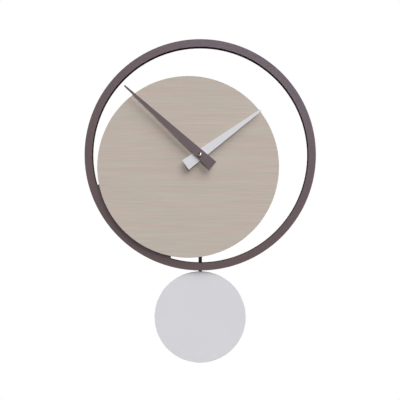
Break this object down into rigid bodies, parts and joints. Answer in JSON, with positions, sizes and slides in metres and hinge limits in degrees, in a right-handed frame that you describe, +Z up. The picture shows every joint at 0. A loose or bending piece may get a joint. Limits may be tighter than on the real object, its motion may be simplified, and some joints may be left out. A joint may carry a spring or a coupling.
{
  "type": "pendulum wall clock",
  "caption": "Round wall clock with an off-centre wooden dial inside a large ring, tapered hands, a quartz movement and a swinging disc pendulum below.",
  "frame": {"origin": "centre of the hanger's keyhole, on the wall plane", "axes": "+Z up along the wall, +X to the right of someone facing the clock, +Y into the wall; the dial faces -Y"},
  "size_m": [0.3599, 0.048, 0.5041],
  "materials": {
    "ring_lacquer": "matte mauve-brown lacquer on fibreboard, dark cut edges",
    "dial_oak": "pale bleached oak laminate, fine horizontal grain, matte",
    "screw_steel": "zinc-plated steel",
    "movement_black": "finely textured black moulding",
    "hanger_steel": "zinc-plated sheet steel",
    "black_rubber": "matte black",
    "brass": "machined, lightly burnished",
    "plate_plastic": "grey moulding",
    "board": "green board",
    "crystal_can": "tinned can",
    "resin": "black potting resin",
    "lamination": "soft iron lamination",
    "winding": "enamelled copper wire",
    "bobbin": "natural nylon",
    "contact": "nickel-plated strip",
    "battery_wrap": null,
    "minute_lacquer": "mauve-brown lacquer on thin board, tan cut edges",
    "hour_lacquer": "white lacquer on thin board, tan cut edges",
    "polished_nickel": "polished nickel plate",
    "white_gear": "natural acetal",
    "knob_plastic": "black moulding, fluted edge",
    "arbor_steel": "ground steel",
    "spring_steel": "spring steel",
    "ferrite": "sintered ferrite magnet",
    "rod_black": "satin black paint on flat steel",
    "bob_white": "white satin lacquer on fibreboard"
  },
  "bodies": {
    "clock": {"ring_frame": "ring_lacquer", "dial_disc": "dial_oak", "dial_screws": "screw_steel", "movement_case": "movement_black", "rear_cover": "movement_black", "cover_screws": "screw_steel", "hanger_plate": "hanger_steel", "rubber_washer": "black_rubber", "threaded_bushing": "brass", "brass_washer": "brass", "hex_nut": "brass", "mid_plate": "plate_plastic", "circuit_board": "board", "quartz_crystal": "crystal_can", "chip_blob": "resin", "motor_stator": "lamination", "motor_core": "lamination", "coil_bobbin": "bobbin", "motor_coil": "winding", "battery_contact_positive": "contact", "battery_contact_negative": "contact", "pendulum_bobbin": "bobbin", "pendulum_coil": "winding", "pivot_pin": "arbor_steel"},
    "battery": {"battery": "battery_wrap"},
    "minute_hand": {"minute_hand": "minute_lacquer", "minute_pipe": "brass", "cap_nut": "polished_nickel"},
    "hour_hand": {"hour_hand": "hour_lacquer", "hour_wheel": "white_gear"},
    "minute_wheel": {"minute_wheel": "white_gear"},
    "setting_knob": {"setting_knob": "knob_plastic", "setting_arbor": "white_gear"},
    "centre_wheel": {"centre_wheel": "white_gear", "clutch_spring": "spring_steel"},
    "third_wheel": {"third_wheel": "white_gear"},
    "seconds_wheel": {"seconds_wheel": "white_gear", "seconds_arbor": "arbor_steel"},
    "intermediate_wheel": {"intermediate_wheel": "white_gear"},
    "rotor": {"rotor_magnet": "ferrite", "rotor_pinion": "white_gear"},
    "pendulum": {"pendulum_bob": "bob_white", "pendulum_rod": "rod_black", "pendulum_hanger": "movement_black", "pendulum_magnet": "ferrite", "bob_bracket": "movement_black", "bob_screws": "screw_steel"}
  },
  "joints": [
    {"name": "minute_hand_turn", "type": "hinge", "parent": "clock", "child": "minute_hand", "pos_m": [0.0175, -0.0419, -0.042], "axis": [0, 1, 0], "continuous": true},
    {"name": "hour_hand_turn", "type": "hinge", "parent": "clock", "child": "hour_hand", "pos_m": [0.0175, -0.0396, -0.042], "axis": [0, 1, 0], "continuous": true},
    {"name": "minute_wheel_turn", "type": "hinge", "parent": "clock", "child": "minute_wheel", "pos_m": [0.00711, -0.017, -0.036], "axis": [0, 1, 0], "continuous": true},
    {"name": "setting_knob_turn", "type": "hinge", "parent": "clock", "child": "setting_knob", "pos_m": [-0.00417, -0.002, -0.0401], "axis": [0, 1, 0], "continuous": true},
    {"name": "centre_wheel_turn", "type": "hinge", "parent": "clock", "child": "centre_wheel", "pos_m": [0.0175, -0.013, -0.042], "axis": [0, 1, 0], "continuous": true},
    {"name": "third_wheel_turn", "type": "hinge", "parent": "clock", "child": "third_wheel", "pos_m": [0.0243, -0.0095, -0.03022], "axis": [0, 1, 0], "continuous": true},
    {"name": "seconds_wheel_turn", "type": "hinge", "parent": "clock", "child": "seconds_wheel", "pos_m": [0.0175, -0.007, -0.042], "axis": [0, 1, 0], "continuous": true},
    {"name": "intermediate_wheel_turn", "type": "hinge", "parent": "clock", "child": "intermediate_wheel", "pos_m": [0.02811, -0.005, -0.04813], "axis": [0, 1, 0], "continuous": true},
    {"name": "rotor_turn", "type": "hinge", "parent": "clock", "child": "rotor", "pos_m": [0.0368, -0.007, -0.05045], "axis": [0, 1, 0], "continuous": true},
    {"name": "pendulum_swing", "type": "hinge", "parent": "clock", "child": "pendulum", "pos_m": [0.0175, -0.007, -0.097], "axis": [0, 1, 0], "range_deg": [-8, 8]},
    {"name": "battery_slide", "type": "slide", "parent": "clock", "child": "battery", "axis": [0, 1, 0], "range_m": [0, 0.03]}
  ],
  "couplings": [
    {"joint": "hour_hand_turn", "follows": "minute_hand_turn", "ratio": 0.083333},
    {"joint": "minute_wheel_turn", "follows": "minute_hand_turn", "ratio": -0.33333},
    {"joint": "setting_knob_turn", "follows": "minute_hand_turn", "ratio": 1},
    {"joint": "centre_wheel_turn", "follows": "minute_hand_turn", "ratio": 1},
    {"joint": "third_wheel_turn", "follows": "minute_hand_turn", "ratio": -7.5},
    {"joint": "seconds_wheel_turn", "follows": "minute_hand_turn", "ratio": 60},
    {"joint": "intermediate_wheel_turn", "follows": "minute_hand_turn", "ratio": -360},
    {"joint": "rotor_turn", "follows": "minute_hand_turn", "ratio": 1800}
  ]
}
